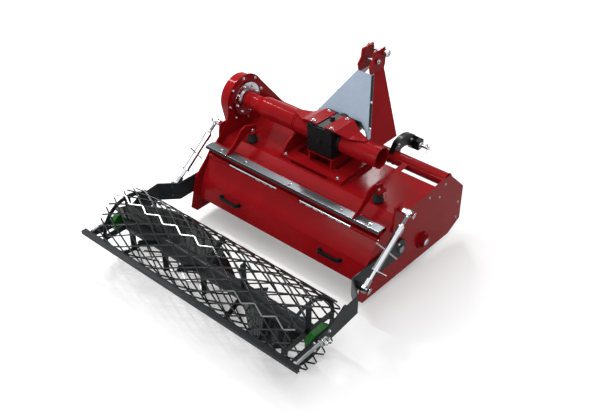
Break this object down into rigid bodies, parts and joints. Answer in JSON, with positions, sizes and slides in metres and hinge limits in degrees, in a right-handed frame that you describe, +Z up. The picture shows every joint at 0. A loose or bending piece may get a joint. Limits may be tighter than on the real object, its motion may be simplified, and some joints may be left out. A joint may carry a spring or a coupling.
{
  "type": "stone burier",
  "caption": "Tractor-mounted stone burier with a bladed rotor under a hood, side chain drive, rear flap and a mesh roller on turnbuckle-set arms.",
  "frame": {"origin": "centre of the bounding box, on the ground under the machine", "axes": "+X right seen from behind, +Y forwards to the tractor, +Z up"},
  "size_m": [1.764, 1.848, 1.151],
  "materials": {
    "red_paint": "deep glossy red enamel",
    "zinc_plate": "bright zinc plating",
    "black_paint": "satin black paint",
    "anthracite_paint": "satin anthracite paint",
    "galvanised_sheet": "galvanised sheet, bluish grey",
    "rubber": "matt black rubber",
    "green_paint": "glossy green paint",
    "bare_steel": "machined steel",
    "blade_steel": "dark wear steel"
  },
  "bodies": {
    "burier": {"side_plate_right": "red_paint", "side_plate_left": "red_paint", "chain_case": "red_paint", "hood_top": "red_paint", "front_tube": "red_paint", "gearbox": "black_paint", "gearbox_cover": "black_paint", "hub_flange": "zinc_plate", "cross_tube_left": "red_paint", "cross_tube_right": "red_paint", "pedestal": "red_paint", "gearbox_bracket_left": "red_paint", "gearbox_bracket_right": "red_paint", "mast_plate_right": "red_paint", "mast_plate_left": "red_paint", "top_link_pin": "zinc_plate", "stay_pin": "zinc_plate", "mast_guard": "galvanised_sheet", "hitch_arms": "black_paint", "hitch_pins": "zinc_plate", "comb_slat": "zinc_plate", "comb_beam": "red_paint", "comb_tines": "blade_steel", "comb_bracket_right": "red_paint", "comb_bracket_left": "red_paint", "comb_buffers": "rubber", "rotor_bearing_cap": "red_paint", "pivot_bolts": "zinc_plate", "buckle_lugs": "red_paint", "flap_rod": "zinc_plate"},
    "rotor": {"rotor_shaft": "red_paint", "rotor_blades": "blade_steel"},
    "input": {"input_shaft": "bare_steel"},
    "flap": {"flap_panel": "red_paint", "flap_handles": "black_paint"},
    "roller_frame": {"roller_arm_right": "anthracite_paint", "roller_arm_left": "anthracite_paint", "rear_bar": "anthracite_paint", "roller_bearings": "green_paint", "roller_hubs": "zinc_plate"},
    "roller": {"roller_core": "anthracite_paint", "roller_mesh": "anthracite_paint"},
    "barrel_right": {"buckle_barrel_right": "zinc_plate"},
    "rod_right": {"buckle_rod_right": "zinc_plate"},
    "barrel_left": {"buckle_barrel_left": "zinc_plate"},
    "rod_left": {"buckle_rod_left": "zinc_plate"}
  },
  "joints": [
    {"name": "rotor_spin", "type": "hinge", "parent": "burier", "child": "rotor", "pos_m": [0, 0.44, 0.18], "axis": [1, 0, 0], "continuous": true},
    {"name": "input_spin", "type": "hinge", "parent": "burier", "child": "input", "pos_m": [0.03, 0.44, 0.703], "axis": [0, 1, 0], "continuous": true},
    {"name": "flap_swing", "type": "hinge", "parent": "burier", "child": "flap", "pos_m": [0, -0.005, 0.431], "axis": [-1, 0, 0], "range_deg": [0, 70]},
    {"name": "frame_lift", "type": "hinge", "parent": "burier", "child": "roller_frame", "pos_m": [0, 0.179, 0.277], "axis": [-1, 0, 0], "range_deg": [-10, 10]},
    {"name": "roller_spin", "type": "hinge", "parent": "roller_frame", "child": "roller", "pos_m": [0, -0.6605, 0.22], "axis": [1, 0, 0], "continuous": true},
    {"name": "buckle_swing_right", "type": "hinge", "parent": "burier", "child": "barrel_right", "pos_m": [0.775, 0.151, 0.579], "axis": [-1, 0, 0], "range_deg": [-7, 7]},
    {"name": "buckle_thread_right", "type": "slide", "parent": "barrel_right", "child": "rod_right", "axis": [0, -0.7824, -0.6227], "range_m": [-0.052, 0.052]},
    {"name": "buckle_swing_left", "type": "hinge", "parent": "burier", "child": "barrel_left", "pos_m": [-0.775, 0.151, 0.579], "axis": [-1, 0, 0], "range_deg": [-7, 7]},
    {"name": "buckle_thread_left", "type": "slide", "parent": "barrel_left", "child": "rod_left", "axis": [0, -0.7824, -0.6227], "range_m": [-0.052, 0.052]}
  ],
  "couplings": [
    {"joint": "input_spin", "follows": "rotor_spin", "ratio": 2.25},
    {"joint": "buckle_swing_right", "follows": "frame_lift", "ratio": 0.66407},
    {"joint": "buckle_thread_right", "follows": "frame_lift", "m_per_rad": -0.25373},
    {"joint": "buckle_swing_left", "follows": "frame_lift", "ratio": 0.66407},
    {"joint": "buckle_thread_left", "follows": "frame_lift", "m_per_rad": -0.25373}
  ]
}
